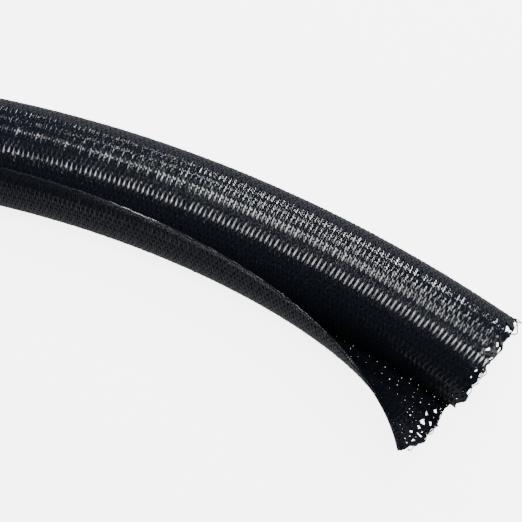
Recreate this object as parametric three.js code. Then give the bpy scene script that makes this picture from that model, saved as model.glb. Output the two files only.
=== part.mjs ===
/*
 * A cut length of split, self-closing braided cable sleeve, lying on a level surface.
 *
 * The braid is one flat band, set in a curl, so that its outer edge wraps over its inner one and
 * a cable can be pressed in anywhere along the slit. The piece keeps a gentle bend from its coil,
 * and at its fresh-cut end the outer wrap relaxes and stands open.
 *
 * Millimetres, +Z up. The chord of the bend runs along X, with the open mouth at +X, and the
 * hollow side of the bend faces -Y. The origin is the middle of the footprint, on the surface.
 */
import * as THREE from "three";
import { ParametricGeometry } from "three/addons/geometries/ParametricGeometry.js";
import { mergeGeometries, mergeVertices } from "three/addons/utils/BufferGeometryUtils.js";

// Driving dimensions, in millimetres and degrees
const boreDiameter = 25;
const wallThickness = 0.8;
const wrapClearance = 0.3;
const overlapWidth = 20;
const seamAngle = 62.5;
const seatWidth = 2;
const cutLength = 500;
const bendRadius = 354;

// The open mouth: the share of its curl that the outer wrap has lost at the cut, and the distance
// over which that loss fades towards the closed part
const flareShare = 0.64;
const flareFade = 40;

// How finely the curves are cut into flat facets: degrees of turn, and millimetres along the sleeve
const facetAngle = 12;
const mouthFacetLength = 5;
const bodyFacetLength = 13.5;
const mouthLength = 1.5 * flareFade;

const braidColour = 0x171b22;

// Radii of the middle of the wall: the back of the curl, the lap inside it and the wrap outside it.
// Lap and wrap share a centre, so the clearance between them is the same all the way round.
const backRadius = (boreDiameter + wallThickness) / 2;
const wrapRise = (wallThickness + wrapClearance) / 2;
const lapRadius = backRadius - wrapRise;
const wrapRadius = backRadius + wrapRise;

const quarterTurn = Math.PI / 2;
const seamTurn = THREE.MathUtils.degToRad(seamAngle);
const lapStartTurn = seamTurn - overlapWidth / lapRadius;
const wrapWidth = wrapRadius * (seamTurn + quarterTurn);

/* The points of an arc in the section, each with the outward direction of the wall there. */
function arcPoints(centreAcross, centreUp, radius, fromTurn, toTurn, facets) {
  return Array.from({ length: facets + 1 }, (_, index) => {
    const turn = THREE.MathUtils.lerp(fromTurn, toTurn, index / facets);
    const outward = new THREE.Vector2(Math.cos(turn), Math.sin(turn));
    const middle = outward.clone().multiplyScalar(radius).add(new THREE.Vector2(centreAcross, centreUp));
    return { middle, outward };
  });
}

const facetsFor = (turn) => Math.ceil(turn / THREE.MathUtils.degToRad(facetAngle));

/*
 * The section at a distance from the cut end, from the inner edge of the band round to its outer
 * edge. x points to the hollow side of the bend and y up, from the axis of the sleeve. Short flats
 * join the arcs at the top and at the bottom, where the sleeve rests.
 */
function sectionAt(distance) {
  const halfSeat = seatWidth / 2;
  const lap = arcPoints(
    halfSeat, wrapRise, lapRadius, lapStartTurn, quarterTurn, facetsFor(quarterTurn - lapStartTurn));
  const back = arcPoints(-halfSeat, 0, backRadius, quarterTurn, 3 * quarterTurn, facetsFor(Math.PI));
  const openRadius = wrapRadius / (1 - flareShare * Math.exp(-distance / flareFade));
  const wrap = arcPoints(
    halfSeat, openRadius - backRadius, openRadius, 3 * quarterTurn,
    3 * quarterTurn + wrapWidth / openRadius, facetsFor(wrapWidth / wrapRadius));
  return [...lap, ...back, ...wrap];
}

/* Distances from the cut end, closer together where the mouth opens. */
function stationDistances() {
  const mouthSteps = Math.ceil(mouthLength / mouthFacetLength);
  const bodySteps = Math.ceil((cutLength - mouthLength) / bodyFacetLength);
  const mouth = Array.from({ length: mouthSteps }, (_, index) => (mouthLength * index) / mouthSteps);
  const body = Array.from({ length: bodySteps + 1 }, (_, index) =>
    THREE.MathUtils.lerp(mouthLength, cutLength, index / bodySteps));
  return [...mouth, ...body];
}

/*
 * Braid doesn't stretch, so a thread that swings outwards in the mouth ends short of the cut. This
 * adds up, from the closed part to the mouth, how far each point of the section is drawn back.
 */
function drawBack(distances, sections) {
  const drawn = sections.map((section) => section.map(() => 0));
  for (let station = distances.length - 2; station >= 0; station -= 1) {
    const advance = distances[station + 1] - distances[station];
    sections[station].forEach(({ middle }, point) => {
      const share = 1 - middle.x / bendRadius;
      const swing = middle.distanceTo(sections[station + 1][point].middle);
      const reach = Math.sqrt(Math.max((advance * share) ** 2 - swing ** 2, 0)) / share;
      drawn[station][point] = drawn[station + 1][point] + advance - reach;
    });
  }
  return drawn;
}

/* A point of the section, set on the bend. */
function onBend(distance, across, up) {
  const turn = (cutLength / 2 - distance) / bendRadius;
  const radius = bendRadius - across;
  return new THREE.Vector3(radius * Math.sin(turn), radius * Math.cos(turn), up);
}

/* One face of the wall, from the grid of points that pick(column, row) gives. */
function patch(columns, rows, pick) {
  const place = (u, v, target) => target.copy(pick(Math.round(u * columns), Math.round(v * rows)));
  const geometry = new ParametricGeometry(place, columns, rows);
  geometry.deleteAttribute("normal");
  geometry.deleteAttribute("uv");
  return geometry;
}

function sleeveGeometry() {
  const distances = stationDistances();
  const sections = distances.map(sectionAt);
  const drawn = drawBack(distances, sections);
  const skin = (side) => sections.map((section, station) =>
    section.map(({ middle, outward }, point) => {
      const place = middle.clone().addScaledVector(outward, (side * wallThickness) / 2);
      return onBend(distances[station] + drawn[station][point], place.x, place.y);
    }));
  const outer = skin(1);
  const inner = skin(-1);
  const facesRound = sections[0].length - 1;
  const facesAlong = distances.length - 1;
  const faces = [
    patch(facesRound, facesAlong, (point, station) => outer[station][point]),
    patch(facesRound, facesAlong, (point, station) => inner[station][facesRound - point]),
    patch(1, facesAlong, (side, station) => [inner, outer][side][station][0]),
    patch(1, facesAlong, (side, station) => [outer, inner][side][station][facesRound]),
    patch(facesRound, 1, (point, side) => [inner, outer][side][0][point]),
    patch(facesRound, 1, (point, side) => [inner, outer][side][facesAlong][facesRound - point]),
  ];
  const geometry = mergeVertices(mergeGeometries(faces));
  geometry.computeBoundingBox();
  const box = geometry.boundingBox;
  geometry.translate(-(box.min.x + box.max.x) / 2, -(box.min.y + box.max.y) / 2, -box.min.z);
  geometry.computeVertexNormals();
  return geometry;
}

const sleeve = new THREE.Mesh(
  sleeveGeometry(),
  new THREE.MeshStandardMaterial({ color: braidColour, roughness: 0.45, metalness: 0, flatShading: true }),
);
sleeve.name = "sleeve";

const part = new THREE.Group();
part.add(sleeve);

export default part;
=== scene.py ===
"""A cut length of split, self-closing braided cable sleeve, dressed over its plain wall.

The braid is laid out flat, strand by strand, and then curled up on the same section, flare and bend as
the plain wall. Lengths are in millimetres until a piece is placed, and in metres from there.
"""
import math

import bmesh
import bpy
import numpy as np
from mathutils import Matrix, Vector


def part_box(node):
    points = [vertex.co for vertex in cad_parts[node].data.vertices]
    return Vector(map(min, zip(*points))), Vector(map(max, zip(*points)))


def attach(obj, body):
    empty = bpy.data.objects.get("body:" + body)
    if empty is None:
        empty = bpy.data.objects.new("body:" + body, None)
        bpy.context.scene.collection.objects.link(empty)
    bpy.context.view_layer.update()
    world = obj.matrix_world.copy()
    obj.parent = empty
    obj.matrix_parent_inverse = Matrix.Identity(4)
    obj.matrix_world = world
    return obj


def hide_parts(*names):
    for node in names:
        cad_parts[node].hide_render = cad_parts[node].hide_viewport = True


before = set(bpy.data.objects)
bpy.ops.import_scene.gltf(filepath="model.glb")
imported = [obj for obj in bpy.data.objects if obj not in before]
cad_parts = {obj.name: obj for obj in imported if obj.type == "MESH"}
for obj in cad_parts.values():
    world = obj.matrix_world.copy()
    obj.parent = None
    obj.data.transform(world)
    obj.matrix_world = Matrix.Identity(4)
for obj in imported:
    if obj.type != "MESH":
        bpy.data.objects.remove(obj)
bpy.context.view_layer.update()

MM = 0.001
RNG = np.random.default_rng(11)

# The curl, the flare and the bend, as the plain wall has them
BORE = 25.0
WALL = 0.8
WRAP_CLEARANCE = 0.3
OVERLAP = 20.0
SEAM_TURN = math.radians(62.5)
SEAT = 2.0
CUT_LENGTH = 500.0
BEND_RADIUS = 354.0
FLARE_SHARE = 0.64
FLARE_FADE = 40.0

BACK_RADIUS = (BORE + WALL) / 2
WRAP_RISE = (WALL + WRAP_CLEARANCE) / 2
LAP_RADIUS = BACK_RADIUS - WRAP_RISE
WRAP_RADIUS = BACK_RADIUS + WRAP_RISE
LAP_START = SEAM_TURN - OVERLAP / LAP_RADIUS
LAP_WIDTH = LAP_RADIUS * (math.pi / 2 - LAP_START)
BACK_WIDTH = BACK_RADIUS * math.pi
WRAP_WIDTH = WRAP_RADIUS * (SEAM_TURN + math.pi / 2)
WRAP_START = LAP_WIDTH + SEAT + BACK_WIDTH + SEAT
BAND_WIDTH = WRAP_START + WRAP_WIDTH

# The braid: a step is half the pitch, and the strands of the two lays cross once a step
CROSSINGS_ACROSS = 68
PITCH_ALONG = 2 / 3
EDGE_MARGIN = 1.2
STEP_ALONG = PITCH_ALONG / 2
STEP_ACROSS = (BAND_WIDTH - EDGE_MARGIN) / CROSSINGS_ACROSS
LEAN = math.atan2(STEP_ACROSS, STEP_ALONG)

# How many crossings a ring leans for each millimetre sideways, to lie along the other lay
CUT_SHIFT = math.sin(LEAN) / STEP_ACROSS / math.tan(math.pi - 2 * LEAN)

# A strand is flat. It lies over two others on a float, which is wide in the middle, and then under two
THICK_HALF = 0.12
FLOAT_HALF = (0.5, 0.37)
FLOAT_END_HALF = 0.2
UNDER_HALF = 0.32
CROWN = 0.2
UNDER_DIP = 0.1
RAMP_HALF = 0.22
# The share of its shine a strand keeps where it runs under the others: painted shade
UNDER_SHADE = 0.2

# Strands in the picture have four sides, and a ring at both ends and the middle of each float. Those past
# the picture's edge, this far from the mouth, have three sides and no middle ring
FINE_LENGTH = 152.0
FINE_STEPS = 2 * round(FINE_LENGTH / STEP_ALONG / 2)
FINE_SIDES = 4
FINE_WIDEN = 1 / math.cos(math.pi / FINE_SIDES)
FINE_RINGS = (RAMP_HALF - 0.5, 0.5, 1.5 - RAMP_HALF)
PLAIN_SIDES = 3
PLAIN_WIDEN = 1.1
PLAIN_RINGS = (RAMP_HALF - 0.5, 1.5 - RAMP_HALF)

# How much one strand differs from the next: its roll, height and crown, and how it wanders sideways
ROLL_SPREAD = math.radians(3)
LIFT_SPREAD = 0.015
CROWN_SPREAD = 0.08
WANDER = 0.02

# The turned edges: how far a turn swings out, where it roots, how it rises over the edge and twists, how
# far round it goes, how its two filaments nest, and how round its shoulders and its belly are
TURN_REACH_INNER = 0.5
TURN_REACH_OUTER = 0.92
TURN_ROOT = 0.5
TURN_RISE = 0.05
TURN_TWIST = 0.2
TURN_SWEEP = 1.3
TURN_EARLY = 0.15
TURN_INSET = 0.2
TURN_NARROWING = 0.4
TURN_SHOULDER = 0.7
TURN_BELLY = 0.45
TURN_SWELL_SPREAD = 0.04
TURN_LIFT_SPREAD = 0.05
PLAIN_TURN_THICKER = 1.5
FINE_TURN_TUBE = (FINE_SIDES, 7)
PLAIN_TURN_TUBE = (PLAIN_SIDES, 5)

# What stands past an edge is held to this far out, where the section is still true
PAST_INNER_EDGE = 2.0
PAST_OUTER_EDGE = 1.5

# The cords that lie along the turned edges
EDGE_CORDS = 5
EDGE_CORD_STEPS = 300
EDGE_CORD_HALF = 0.16
EDGE_CORD_GAP = 0.3
CORD_SEAT = 0.9

# The top cord of the slit edge, with a ring at each quarter of the pitch
SEAM_ROLL = math.radians(-22)
SEAM_ROLL_SWAY = math.radians(22)
SEAM_CORD_HALF = 0.17
SEAM_FINE_STEPS = 4 * round(FINE_LENGTH / PITCH_ALONG)
SEAM_PLAIN_STEPS = 120

# The fresh cut: how many crossings a strand may be short of it, and how far in it has crept out of line
TRIM_SPREAD = 1.6
CREEP_FADE = 2.5

# Holes that the cut end has opened: how far across the band, how far in, and the half width
HOLES = ((20.0, 1.6, 0.9), (27.0, 2.2, 1.0), (29.5, 1.4, 0.8), (36.0, 1.5, 1.0), (41.0, 2.4, 0.8),
         (57.0, 1.7, 1.0), (61.0, 2.6, 0.8), (70.0, 1.8, 1.1), (73.5, 1.4, 0.8), (86.0, 2.0, 1.1),
         (88.0, 4.0, 0.8), (90.0, 1.7, 0.9), (92.3, 3.4, 1.6), (95.2, 5.4, 0.8), (95.6, 1.9, 1.1),
         (97.4, 4.0, 0.9), (99.0, 1.6, 0.8), (100.2, 3.0, 0.9), (101.6, 5.0, 0.7), (102.3, 1.8, 0.8),
         (92.5, 7.0, 0.6), (98.0, 7.6, 0.5))
HOLE_LENGTHENING = 1.7
HOLE_FADE = 3
HOLE_SQUEEZE = 0.35

# Loose filaments that run along the cut: how many, how far apart the ends of one are, how far in they
# lie, and how far it bows in and up between them
LOOSE_COUNT = 30
LOOSE_MARGIN = 15
LOOSE_SPAN = (3.0, 13.0)
LOOSE_INWARDS = (-0.2, 0.9)
LOOSE_BOW_IN = (-0.3, 0.15)
LOOSE_BOW_UP = (-0.1, 0.2)
LOOSE_STEPS = 12
LOOSE_HALF = 0.15

# Those that stand clear of it: from where to where across the band, and how far they bow in and up.
# A bow in that is below zero is out of the cut
STRAYS = ((34.0, 42.0, -1.4, 0.4), (36.5, 46.0, -1.1, 0.3), (38.0, 49.0, -0.8, 0.2), (40.0, 45.0, -1.5, 0.5),
          (0.6, 3.4, -1.9, 0.3), (20.0, 23.0, -1.3, 0.3), (98.0, 102.5, -1.0, 0.2))


def wrap_curl(along):
    """How tightly the outer wrap curls, per millimetre. It opens towards the mouth."""
    return (1 - FLARE_SHARE * np.exp(-along / FLARE_FADE)) / WRAP_RADIUS


def section(along, across):
    """The middle of the wall and its outward direction, from distances along and across the band."""
    curl = wrap_curl(along)
    lap = LAP_START + across / LAP_RADIUS
    back = math.pi / 2 + (across - LAP_WIDTH - SEAT) / BACK_RADIUS
    wrap = 1.5 * math.pi + (across - WRAP_START) * curl
    on_lap = across < LAP_WIDTH
    on_top = (across >= LAP_WIDTH) & (across < LAP_WIDTH + SEAT)
    on_back = (across >= LAP_WIDTH + SEAT) & (across < WRAP_START - SEAT)
    on_seat = (across >= WRAP_START - SEAT) & (across < WRAP_START)
    on_middle = on_top | on_back | on_seat
    turn = np.select([on_lap, on_top, on_back, on_seat], [lap, math.pi / 2, back, 1.5 * math.pi], wrap)
    radius = np.select([on_lap, on_middle], [LAP_RADIUS, BACK_RADIUS], 1 / curl)
    out_across, out_up = np.cos(turn), np.sin(turn)
    centre_across = np.select(
        [on_lap, on_top, on_back, on_seat],
        [SEAT / 2, SEAT / 2 - (across - LAP_WIDTH), -SEAT / 2, across - WRAP_START + SEAT / 2],
        SEAT / 2)
    centre_up = np.select([on_lap, on_middle], [WRAP_RISE, 0.0], 1 / curl - BACK_RADIUS)
    return centre_across + radius * out_across, centre_up + radius * out_up, out_across, out_up


def draw_back_table():
    """How far each point of the opening wrap is drawn back from the cut, every millimetre along it."""
    past_cut = 10.0
    past_edge = 2.0
    columns = 48
    along = np.linspace(CUT_LENGTH, -past_cut, round(CUT_LENGTH + past_cut) + 1)
    across = np.linspace(WRAP_START, BAND_WIDTH + past_edge, columns)
    grid_along, grid_across = np.meshgrid(along, across, indexing="ij")
    u, w, _, _ = section(grid_along, grid_across)
    advance = (along[0] - along[1]) * (1 - u[1:] / BEND_RADIUS)
    swing_squared = np.diff(u, axis=0) ** 2 + np.diff(w, axis=0) ** 2
    lost = (advance - np.sqrt(advance ** 2 - swing_squared)) / (1 - u[1:] / BEND_RADIUS)
    drawn = np.vstack([np.zeros(len(across)), np.cumsum(lost, axis=0)])
    return along[::-1], across, drawn[::-1]


TABLE_ALONG, TABLE_ACROSS, TABLE_DRAWN = draw_back_table()


def drawn_back(along, across):
    """Reads the table between its grid points."""
    row = np.interp(along, TABLE_ALONG, np.arange(len(TABLE_ALONG)))
    column = np.interp(across, TABLE_ACROSS, np.arange(len(TABLE_ACROSS)))
    low_row = np.minimum(row.astype(int), len(TABLE_ALONG) - 2)
    low_column = np.minimum(column.astype(int), len(TABLE_ACROSS) - 2)
    part_row, part_column = row - low_row, column - low_column
    near = TABLE_DRAWN[low_row, low_column] * (1 - part_row) + TABLE_DRAWN[low_row + 1, low_column] * part_row
    far = (TABLE_DRAWN[low_row, low_column + 1] * (1 - part_row)
           + TABLE_DRAWN[low_row + 1, low_column + 1] * part_row)
    return near * (1 - part_column) + far * part_column


def on_bend(along, across, up):
    """A point of the section set on the bend, before the footprint is centred."""
    turn = (CUT_LENGTH / 2 - along) / BEND_RADIUS
    radius = BEND_RADIUS - across
    return np.stack([radius * np.sin(turn), radius * np.cos(turn), up], axis=-1)


def curl_up(along, across, depth):
    """Rolls flat points of the braid up. depth is outwards from the middle of the wall."""
    u, w, out_u, out_w = section(along, across)
    return on_bend(along + drawn_back(along, across), u + depth * out_u, w + depth * out_w)


def footprint_shift():
    """What moves the rolled braid to the plain wall's own place, from the two boxes."""
    samples = 400
    along, across = np.meshgrid(
        np.linspace(0, CUT_LENGTH, samples), np.linspace(0, BAND_WIDTH, samples), indexing="ij")
    outer = curl_up(along, across, np.full_like(along, WALL / 2)).reshape(-1, 3)
    inner = curl_up(along, across, np.full_like(along, -WALL / 2)).reshape(-1, 3)
    low = np.minimum(outer.min(axis=0), inner.min(axis=0))
    high = np.maximum(outer.max(axis=0), inner.max(axis=0))
    box_low, box_high = (np.array(corner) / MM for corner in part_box("sleeve"))
    shift = (box_low + box_high) / 2 - (low + high) / 2
    shift[2] = box_low[2] - low[2]
    return shift


SHIFT = footprint_shift()


def held_to_edges(across):
    """Holds points that stand past an edge of the band close to it."""
    return np.clip(across, -PAST_INNER_EDGE, BAND_WIDTH + PAST_OUTER_EDGE)


def waves(place, *parts):
    """A wandering line: sine waves, each with its size, its turn in radians a unit, and its start."""
    return sum(size * np.sin(rate * place + start) for size, rate, start in parts)


TUBES = {}


def tube_mesh(sides, steps, smooth):
    """A straight closed tube along X, a unit long per step and a unit in radius, made once per length."""
    if (sides, steps, smooth) not in TUBES:
        bm = bmesh.new()
        turned = Matrix.Rotation(math.pi / sides, 4, "X") @ Matrix.Rotation(math.pi / 2, 4, "Y")
        bmesh.ops.create_circle(bm, cap_ends=True, segments=sides, radius=1, matrix=turned)
        ring = list(bm.verts) + list(bm.edges) + list(bm.faces)
        bmesh.ops.spin(
            bm, geom=ring, axis=(1, 0, 0), cent=(0, 0, 0), dvec=(1, 0, 0), angle=0, steps=steps)
        bmesh.ops.recalc_face_normals(bm, faces=bm.faces)
        for face in bm.faces:
            face.smooth = True
        for edge in bm.edges:
            edge.smooth = smooth
        mesh = bpy.data.meshes.new("tube")
        bm.to_mesh(mesh)
        bm.free()
        TUBES[sides, steps, smooth] = mesh
    return TUBES[sides, steps, smooth]


def straight_piece(bm, name):
    """Makes a piece of the straight tubes. Returns it with its corners, one row each."""
    mesh = bpy.data.meshes.new(name)
    bm.to_mesh(mesh)
    bm.free()
    piece = bpy.data.objects.new(name, mesh)
    bpy.context.scene.collection.objects.link(piece)
    corners = np.empty(len(mesh.vertices) * 3)
    mesh.vertices.foreach_get("co", corners)
    return piece, corners.reshape(-1, 3)


def move_corners(piece, rolled):
    """Moves a piece's corners to their places on the rolled braid."""
    piece.data.vertices.foreach_set("co", ((rolled + SHIFT) * MM).ravel())
    piece.data.update()


def mark_corners(piece, name, values):
    """Keeps a value at each corner, for the material to read."""
    piece.data.attributes.new(name, "FLOAT", "POINT").data.foreach_set("value", values)


def spread(along, across):
    """How far the strands have been pushed apart round the holes near the cut."""
    shift = np.zeros_like(along)
    for middle, inwards, reach in HOLES:
        gap = np.sqrt(np.maximum(reach ** 2 - (across - middle) ** 2 / HOLE_LENGTHENING, 0))
        away = along - inwards
        side = np.where(away < 0, -1.0, 1.0)
        fade = np.exp(-(away / (HOLE_FADE * reach)) ** 2)
        shift = shift + (side * np.sqrt(away ** 2 + gap ** 2) - away) * fade
    return shift


def slackened(along, across):
    """How far the cut end has crept out of line, and its strands have spread round holes."""
    creep = waves(across, (0.35, 0.31, 1.1), (0.3, 0.83, 0.4), (0.2, 1.9, 0.0))
    return creep * np.exp(-np.maximum(along, 0) / CREEP_FADE) + spread(along, across)


class Lay:
    """One set of strands: those that run with the sleeve's length as they cross the band, or against it."""

    def __init__(self, sign):
        self.sign = sign

    def starts(self, low_step, high_step):
        """The step at the inner edge of every strand that shows between two steps."""
        reach = CROSSINGS_ACROSS
        first, last = (low_step - reach, high_step) if self.sign > 0 else (low_step, high_step + reach)
        return range(2 * math.ceil(first / 2), int(last) + 1, 2)

    def span(self, start, low_step, high_step):
        """The crossings of that strand that lie between two steps."""
        if self.sign > 0:
            return max(0, low_step - start), min(CROSSINGS_ACROSS, high_step - start)
        return max(0, start - high_step), min(CROSSINGS_ACROSS, start - low_step)

    def trimmed(self, low, high, trim):
        """That span with the end at the cut drawn back by some crossings."""
        if self.sign > 0 and low > 0:
            return low + trim, high
        if self.sign < 0 and high < CROSSINGS_ACROSS:
            return low, high - trim
        return low, high


LAYS = {"with": Lay(1), "against": Lay(-1)}


def ring_span(low, high, rings):
    """The first and last rings of a strand between two crossings. rings are one float's."""
    last_place = len(rings) - 1
    first = len(rings) * (low // 2) + (1 if low % 2 else 0)
    last = len(rings) * (high // 2) + (last_place if high % 2 else 0)
    return first, last


def band_bend(along, across):
    """How tightly the section curls at a point of the band, per millimetre."""
    on_top = (across >= LAP_WIDTH) & (across < LAP_WIDTH + SEAT)
    on_seat = (across >= WRAP_START - SEAT) & (across < WRAP_START)
    return np.select(
        [on_top | on_seat, across < LAP_WIDTH, across < WRAP_START],
        [0.0, 1 / LAP_RADIUS, 1 / BACK_RADIUS],
        wrap_curl(along))


def float_shape(lay, start, ring, rings, bend):
    """How high and how wide a strand is at a ring, and whether it lies over the others there.

    It goes over two crossings and under the next two. Its neighbour does the opposite.
    """
    run = ring // len(rings)
    over = ((run + start // 2) % 2 == 0) == (lay.sign > 0)
    middle = (len(rings) == 3) & (ring % len(rings) == 1)
    run_length = (2 - 2 * RAMP_HALF) * STEP_ACROSS
    sag = np.where(middle, run_length ** 2 * bend / 8, 0.0)
    dip = np.where(middle & ~over, UNDER_DIP, 0.0)
    height = np.where(over, CROWN, -CROWN) - sag - dip
    if len(rings) < 3:
        return height, UNDER_HALF, over
    widest = np.where(start // 4 % 2 == 0, FLOAT_HALF[0], FLOAT_HALF[1])
    float_half = np.where(middle, widest, FLOAT_END_HALF)
    return height, np.where(over, float_half, UNDER_HALF), over


def braid_piece(name, lay, low_step, high_step, starts, fine):
    """The strands of one lay that begin at the given steps, laid flat and then rolled up."""
    rings = FINE_RINGS if fine else PLAIN_RINGS
    sides = FINE_SIDES if fine else PLAIN_SIDES
    widen = FINE_WIDEN if fine else PLAIN_WIDEN

    # The floats of the second lay begin one crossing later, where the first lay's go under
    late = 0 if lay.sign > 0 else 1
    bm = bmesh.new()
    strands = []
    corner_counts = []
    for start in starts:
        low, high = lay.span(start, low_step, high_step)
        if high - low < 1:
            continue
        drift = RNG.uniform(0, 2 * math.pi)
        trim = min(int(abs(RNG.normal(0, TRIM_SPREAD))), high - low - 1) if fine else 0
        low, high = lay.trimmed(low, high, trim)
        first, last = ring_span(low + late, high + late, rings)
        tube = tube_mesh(sides, last - first, False)
        bm.from_mesh(tube)
        lift = RNG.normal(0, LIFT_SPREAD)
        roll = RNG.normal(0, ROLL_SPREAD)
        crown = RNG.normal(1, CROWN_SPREAD)
        strands.append((start, first, drift, lift, roll, crown))
        corner_counts.append(len(tube.vertices))
    piece, flat = straight_piece(bm, name)
    start, first, drift, lift, roll, crown = np.repeat(strands, corner_counts, axis=0).T

    # Where the middle of each ring lies
    ring = np.round(first + flat[:, 0]).astype(int)
    crossing = 2 * (ring // len(rings)) - late + np.array(rings)[ring % len(rings)]
    middle_across = np.clip(crossing, 0, CROSSINGS_ACROSS) * STEP_ACROSS
    middle_along = (start + lay.sign * crossing) * STEP_ALONG
    bend = band_bend(middle_along, middle_across)
    height, half, over = float_shape(lay, start.astype(int), ring, rings, bend)
    half = half * (1 - HOLE_SQUEEZE * np.minimum(np.abs(spread(middle_along, middle_across)), 1))

    # Where its corners lie
    from_middle = half * widen * flat[:, 1]
    passed = start + lay.sign * crossing
    sideways = from_middle + WANDER * waves(passed, (1, 0.31, drift), (0.6, 0.83, 2.7 * drift))
    crossing = np.clip(crossing - lay.sign * sideways * CUT_SHIFT, 0, CROSSINGS_ACROSS)
    along = (start + lay.sign * crossing) * STEP_ALONG + sideways * math.sin(LEAN)
    along = along + slackened(middle_along, middle_across)
    across = crossing * STEP_ACROSS - lay.sign * sideways * math.cos(LEAN)
    depth = crown * height + THICK_HALF * widen * flat[:, 2] + lift + from_middle * np.tan(roll)
    move_corners(piece, curl_up(along, across, depth))
    mark_corners(piece, "strand_side", flat[:, 1] * widen)
    # Painted shade: the runs under the others keep only part of their shine
    mark_corners(piece, "strand_painted_shade", np.where(over, 1.0, UNDER_SHADE))
    return piece


def eased(values, power):
    """The values with their sizes raised to a power and their signs kept."""
    return np.sign(values) * np.abs(values) ** power


def edge_turns(name, low_step, high_step, at_slit_edge, fine):
    """The turned edge of the band, where each strand swings round and goes back as the other lay."""
    edge = CROSSINGS_ACROSS * STEP_ACROSS if at_slit_edge else 0.0
    outwards = 1 if at_slit_edge else -1
    reach = TURN_REACH_OUTER if at_slit_edge else TURN_REACH_INNER
    filaments = 2 if fine else 1
    sides, steps = FINE_TURN_TUBE if fine else PLAIN_TURN_TUBE
    thick = THICK_HALF if fine else PLAIN_TURN_THICKER * THICK_HALF
    bm = bmesh.new()
    turns = []
    for start in range(low_step, high_step, 2):
        for filament in range(filaments):
            bm.from_mesh(tube_mesh(sides, steps, True))
            swell = RNG.normal(0, TURN_SWELL_SPREAD)
            lift = RNG.normal(0, TURN_LIFT_SPREAD)
            turns.append((start, filament, swell, lift))
    piece, flat = straight_piece(bm, name)
    start, filament, swell, lift = np.repeat(turns, sides * (steps + 1), axis=0).T
    turn = math.pi * (flat[:, 0] / steps * TURN_SWEEP - TURN_EARLY)
    inset = filament * TURN_INSET
    half = PITCH_ALONG * 0.5 - inset * TURN_NARROWING + 0.5 * swell + thick * flat[:, 1]
    out = reach - inset + swell + thick * flat[:, 1]
    along = start * STEP_ALONG - half * eased(np.cos(turn), TURN_SHOULDER)
    across = edge + outwards * (out * eased(np.sin(turn), TURN_BELLY) - TURN_ROOT * np.cos(turn) ** 2)
    depth = TURN_RISE + TURN_TWIST * np.cos(turn) + lift + thick * flat[:, 2]
    move_corners(piece, curl_up(along, held_to_edges(across), depth))
    return piece


def laid_tube(bm, courses, course, half, smooth=True):
    """One filament of the given half width. Its course is along, across, depth and roll at each ring."""
    along, across, depth, roll = course
    bm.from_mesh(tube_mesh(4, len(along) - 1, smooth))
    heading = np.arctan2(np.gradient(along), np.gradient(across))
    courses.append((along, across, depth, heading, roll + np.zeros(len(along)), half))


def lay_tubes(bm, courses, name):
    """Moves the straight filaments of a piece onto their courses and rolls them up."""
    piece, flat = straight_piece(bm, name)
    rolled = []
    first = 0
    for along, across, depth, heading, roll, half in courses:
        part = flat[first:first + 4 * len(along)]
        first += len(part)
        ring = np.round(part[:, 0]).astype(int)
        turned = roll[ring]
        out = half * (part[:, 1] * np.cos(turned) - part[:, 2] * np.sin(turned))
        up = half * (part[:, 2] * np.cos(turned) + part[:, 1] * np.sin(turned))
        rolled.append(curl_up(
            along[ring] + out * np.cos(heading[ring]),
            held_to_edges(across[ring] - out * np.sin(heading[ring])),
            depth[ring] + up))
    move_corners(piece, np.concatenate(rolled))
    return piece


def edge_cords():
    """The cords that run the whole length along each turned edge, over the turns."""
    bm = bmesh.new()
    courses = []
    along = np.linspace(0, 1, EDGE_CORD_STEPS + 1) * CUT_LENGTH
    edges = ((0.0, -1, TURN_REACH_INNER), (BAND_WIDTH - EDGE_MARGIN, 1, TURN_REACH_OUTER))
    for edge, outwards, reach in edges:
        for cord in range(EDGE_CORDS):
            # Each cord sways a little in place and in height, out of step with the next
            place = edge + outwards * (reach * CORD_SEAT - EDGE_CORD_GAP * cord)
            twist = 2.1 * cord
            across = place + waves(along, (0.04, 1.7, twist))
            depth = 0.1 + 0.07 * np.cos(2.3 * along + twist)
            laid_tube(bm, courses, (along, across, depth, 0.0), EDGE_CORD_HALF)
    return lay_tubes(bm, courses, "edge_cords")


def seam_cord():
    """The top cord of the slit edge. The turns pull it to and fro, so that it catches the light in dots."""
    bm = bmesh.new()
    courses = []
    for begin, finish, steps in (
            (0.0, FINE_LENGTH, SEAM_FINE_STEPS),
            (FINE_LENGTH, CUT_LENGTH, SEAM_PLAIN_STEPS)):
        along = begin + (finish - begin) * np.linspace(0, 1, steps + 1)
        across = BAND_WIDTH - EDGE_MARGIN + CORD_SEAT * TURN_REACH_OUTER + waves(along, (0.05, 0.9, 0.0))
        depth = 0.2 + waves(along, (0.05, 0.47, 0.0))
        roll = SEAM_ROLL + SEAM_ROLL_SWAY * np.sin(2 * math.pi * along / PITCH_ALONG)
        laid_tube(bm, courses, (along, across, depth, roll), SEAM_CORD_HALF, False)
    return lay_tubes(bm, courses, "seam_cord")


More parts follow.
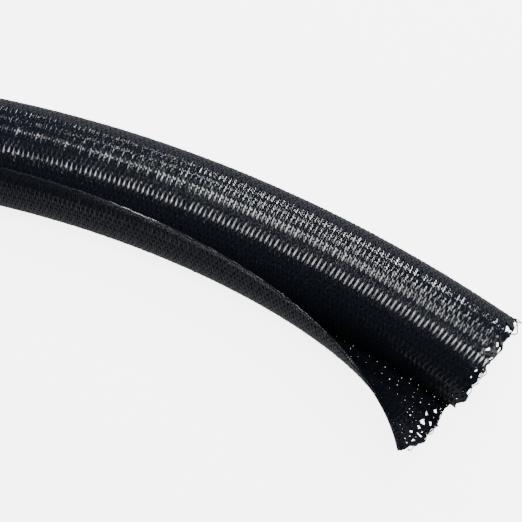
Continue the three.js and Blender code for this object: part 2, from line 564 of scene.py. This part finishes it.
def loose_filaments():
    """Filaments that have come away at the cut and lie along it, and a few that stand clear."""
    bm = bmesh.new()
    courses = []
    share = np.linspace(0, 1, LOOSE_STEPS + 1)
    loose = [(low, low + RNG.uniform(*LOOSE_SPAN), RNG.uniform(*LOOSE_BOW_IN), RNG.uniform(*LOOSE_BOW_UP))
             for low in RNG.uniform(0, BAND_WIDTH - LOOSE_MARGIN, LOOSE_COUNT)]
    for low, high, bow_in, bow_up in loose + list(STRAYS):
        start = RNG.uniform(*LOOSE_INWARDS)
        finish = RNG.uniform(*LOOSE_INWARDS)
        turn = RNG.uniform(0, 6)
        bow = np.sin(math.pi * share) ** 0.5
        across = low + (high - low) * share
        along = start + (finish - start) * share + bow_in * bow + waves(share, (0.12, 5, turn))
        along = along + slackened(along, across)
        depth = bow_up * bow + waves(share, (0.15, 7, turn))
        laid_tube(bm, courses, (along, across, depth, 0.0), LOOSE_HALF)
    return lay_tubes(bm, courses, "loose_filaments")


def build_braid():
    """Every piece of the braid, each short enough to stay within the limit on a piece's triangles."""
    pieces = []
    last_step = round(CUT_LENGTH / STEP_ALONG)
    stretches = (("mouth", 0, FINE_STEPS), ("body", FINE_STEPS, last_step))
    for word, lay in LAYS.items():
        for stretch, low_step, high_step in stretches:
            all_starts = list(lay.starts(low_step, high_step))
            half = len(all_starts) // 2
            for part, starts in (("a", all_starts[:half]), ("b", all_starts[half:])):
                name = f"strands_{word}_{stretch}_{part}"
                pieces.append(braid_piece(name, lay, low_step, high_step, starts, stretch == "mouth"))
    for word, at_slit_edge in (("inner", False), ("outer", True)):
        pieces.append(edge_turns(f"edge_turns_{word}_mouth", 2, FINE_STEPS, at_slit_edge, True))
        pieces.append(edge_turns(f"edge_turns_{word}_body", FINE_STEPS, last_step, at_slit_edge, False))
    return pieces + [edge_cords(), seam_cord(), loose_filaments()]


def drawn_finish_group():
    """The marks of drawn plastic, for every material: how rough it is and where dust sits on it."""
    group = bpy.data.node_groups.new("drawn_finish", "ShaderNodeTree")
    group.interface.new_socket("Place", in_out="INPUT", socket_type="NodeSocketVector")
    for label in ("Roughness", "Dust"):
        group.interface.new_socket(label, in_out="OUTPUT", socket_type="NodeSocketFloat")
    nodes, links = group.nodes, group.links
    inside = nodes.new("NodeGroupInput")
    outside = nodes.new("NodeGroupOutput")
    marks = nodes.new("ShaderNodeTexNoise")
    marks.inputs["Scale"].default_value = 1400
    marks.inputs["Detail"].default_value = 2
    rough = nodes.new("ShaderNodeMapRange")
    rough.inputs["From Min"].default_value = 0.3
    rough.inputs["From Max"].default_value = 0.7
    rough.inputs["To Min"].default_value = 0.08
    rough.inputs["To Max"].default_value = 0.15
    specks = nodes.new("ShaderNodeTexNoise")
    specks.inputs["Scale"].default_value = 2600
    specks.inputs["Detail"].default_value = 1
    dust = nodes.new("ShaderNodeMapRange")
    dust.inputs["From Min"].default_value = 0.7
    dust.inputs["From Max"].default_value = 0.76
    for texture, reader, label in ((marks, rough, "Roughness"), (specks, dust, "Dust")):
        links.new(inside.outputs["Place"], texture.inputs["Vector"])
        links.new(texture.outputs["Fac"], reader.inputs["Value"])
        links.new(reader.outputs["Result"], outside.inputs[label])
    return group


def plastic(name, finish):
    """Glossy black polyester with the shared finish. Returns the material and its shader."""
    material = bpy.data.materials.new(name)
    material.use_nodes = True
    nodes, links = material.node_tree.nodes, material.node_tree.links
    shader = nodes["Principled BSDF"]
    shader.inputs["IOR"].default_value = 1.57
    place = nodes.new("ShaderNodeTexCoord")
    marks = nodes.new("ShaderNodeGroup")
    marks.node_tree = finish
    links.new(place.outputs["Object"], marks.inputs["Place"])
    links.new(marks.outputs["Roughness"], shader.inputs["Roughness"])
    colour = nodes.new("ShaderNodeMix")
    colour.data_type = "RGBA"
    colour.inputs["A"].default_value = (0.0065, 0.008, 0.0125, 1)
    colour.inputs["B"].default_value = (0.05, 0.05, 0.052, 1)
    links.new(marks.outputs["Dust"], colour.inputs["Factor"])
    links.new(colour.outputs["Result"], shader.inputs["Base Color"])
    return material, shader


def maths(nodes, operation, second=None):
    node = nodes.new("ShaderNodeMath")
    node.operation = operation
    if second is not None:
        node.inputs[1].default_value = second
    return node


def corner_value(nodes, name):
    node = nodes.new("ShaderNodeAttribute")
    node.attribute_name = name
    return node


def strand_material(finish):
    """Black plastic with fine ridges along the strand, each as wide as one of its three filaments, and
    painted shade that dims its shine.
    """
    material, shader = plastic("black_strand", finish)
    nodes, links = material.node_tree.nodes, material.node_tree.links
    side = corner_value(nodes, "strand_side")
    count = maths(nodes, "MULTIPLY", 3.0)
    ridges = maths(nodes, "PINGPONG", 1.0)
    rounded = maths(nodes, "POWER", 0.4)
    bump = nodes.new("ShaderNodeBump")
    bump.inputs["Strength"].default_value = 0.3
    bump.inputs["Distance"].default_value = 0.00004
    links.new(side.outputs["Fac"], count.inputs[0])
    links.new(count.outputs["Value"], ridges.inputs[0])
    links.new(ridges.outputs["Value"], rounded.inputs[0])
    links.new(rounded.outputs["Value"], bump.inputs["Height"])
    links.new(bump.outputs["Normal"], shader.inputs["Normal"])

    # Painted shade: the shine is turned down towards a strand's sides, for its rounding and the shade between
    # strands, and where it dives under the others, for the shade they cast
    from_middle = maths(nodes, "ABSOLUTE")
    painted_edge_shade = nodes.new("ShaderNodeMapRange")
    painted_edge_shade.interpolation_type = "SMOOTHSTEP"
    painted_edge_shade.inputs["From Min"].default_value = 0.62
    painted_edge_shade.inputs["From Max"].default_value = 0.98
    painted_edge_shade.inputs["To Min"].default_value = 0.5
    painted_edge_shade.inputs["To Max"].default_value = 0.04
    under_shade_reader = corner_value(nodes, "strand_painted_shade")
    shine = maths(nodes, "MULTIPLY")
    links.new(side.outputs["Fac"], from_middle.inputs[0])
    links.new(from_middle.outputs["Value"], painted_edge_shade.inputs["Value"])
    links.new(painted_edge_shade.outputs["Result"], shine.inputs[0])
    links.new(under_shade_reader.outputs["Fac"], shine.inputs[1])
    links.new(shine.outputs["Value"], shader.inputs["Specular IOR Level"])
    return material


def floor_paint():
    """Matt white. It glows brightly to the camera alone, and is dark in reflections, so black stays black."""
    material = bpy.data.materials.new("pale_floor")
    material.use_nodes = True
    nodes, links = material.node_tree.nodes, material.node_tree.links
    paint = nodes["Principled BSDF"]
    paint.inputs["Roughness"].default_value = 0.9
    paint.inputs["Specular IOR Level"].default_value = 0.2
    paint.inputs["Emission Color"].default_value = (1, 1, 1, 1)
    path = nodes.new("ShaderNodeLightPath")
    glow = nodes.new("ShaderNodeMix")
    glow.data_type = "FLOAT"
    glow.inputs["A"].default_value = 0.2
    glow.inputs["B"].default_value = 5.0
    links.new(path.outputs["Is Camera Ray"], glow.inputs["Factor"])
    links.new(glow.outputs["Result"], paint.inputs["Emission Strength"])
    shade = nodes.new("ShaderNodeMix")
    shade.data_type = "RGBA"
    shade.inputs["A"].default_value = (0.92, 0.92, 0.92, 1)
    shade.inputs["B"].default_value = (0.07, 0.075, 0.09, 1)
    links.new(path.outputs["Is Glossy Ray"], shade.inputs["Factor"])
    links.new(shade.outputs["Result"], paint.inputs["Base Color"])
    return material


def pale_floor():
    """A plain floor, 15 m to each side, that lies just under the sleeve."""
    bm = bmesh.new()
    bmesh.ops.create_grid(bm, x_segments=1, y_segments=1, size=15.0)
    mesh = bpy.data.meshes.new("floor")
    bm.to_mesh(mesh)
    bm.free()
    plane = bpy.data.objects.new("floor", mesh)
    plane.location = (0, 0, -0.0002)
    bpy.context.scene.collection.objects.link(plane)
    plane.data.materials.append(floor_paint())


# The camera looks down at this point of the floor, from the slit side
AIM = Vector((174.97, -3.93, 0.0))
CAMERA_ELEVATION = math.radians(75)
CAMERA_SWING = math.radians(4.4)
CAMERA_DISTANCE = 253.3
FOCAL_MM = 62.07


def camera():
    data = bpy.data.cameras.new("camera")
    data.lens = FOCAL_MM
    data.sensor_width = 36
    data.clip_start = 0.01
    data.clip_end = 20
    eye = bpy.data.objects.new("camera", data)
    back = Vector((0, -math.cos(CAMERA_ELEVATION), math.sin(CAMERA_ELEVATION))) * CAMERA_DISTANCE
    swing = Matrix.Rotation(-CAMERA_SWING, 4, "Z")
    eye.location = (AIM + swing @ back) * MM
    eye.rotation_euler = (math.pi / 2 - CAMERA_ELEVATION, 0, -CAMERA_SWING)
    bpy.context.scene.collection.objects.link(eye)
    bpy.context.scene.camera = eye


# Soft panels, side by side round the sleeve: the height angle in degrees from the slit side, the width
# round the sleeve and the length along it in metres, and the radiance
PANELS = {
    "overhead_panel": (86.5, 0.11, 0.42, 22.0),
    "back_panel": (117, 0.075, 0.42, 24.0),
    "high_glint": (140, 0.014, 0.34, 70.0),
    "low_glint": (164, 0.02, 0.34, 100.0),
    "front_panel": (-6, 0.2, 0.8, 0.9)}
PANEL_DISTANCE = 0.6
PANEL_HEADING = math.radians(28)
LIT_HEIGHT = 0.015


def panel(name, height_angle, width, length, radiance):
    """A panel that lies along the sleeve's mouth end and faces it."""
    turn = math.radians(height_angle)
    heading = Vector((math.cos(PANEL_HEADING), -math.sin(PANEL_HEADING), 0))
    to_slit = Vector((-math.sin(PANEL_HEADING), -math.cos(PANEL_HEADING), 0))
    middle = AIM * MM + Vector((0, 0, LIT_HEIGHT))
    out = to_slit * math.cos(turn) + Vector((0, 0, 1)) * math.sin(turn)
    data = bpy.data.lights.new(name, "AREA")
    data.shape = "RECTANGLE"
    data.size = length
    data.size_y = width
    data.energy = radiance * math.pi * length * width
    light = bpy.data.objects.new(name, data)
    facing = Matrix((heading, out.cross(heading), out)).transposed().to_4x4()
    light.matrix_world = Matrix.Translation(middle + out * PANEL_DISTANCE) @ facing
    bpy.context.scene.collection.objects.link(light)


def lights():
    for name, values in PANELS.items():
        panel(name, *values)
    world = bpy.data.worlds.new("studio")
    world.use_nodes = True
    world.node_tree.nodes["Background"].inputs["Color"].default_value = (0.02, 0.022, 0.03, 1)
    bpy.context.scene.world = world


pieces = build_braid()
finish = drawn_finish_group()
strand_look = strand_material(finish)
cord_look = plastic("black_cord", finish)[0]
for piece in pieces:
    piece.data.materials.append(strand_look if piece.name.startswith("strands") else cord_look)
    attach(piece, "root")
    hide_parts("sleeve")
pale_floor()
lights()
camera()
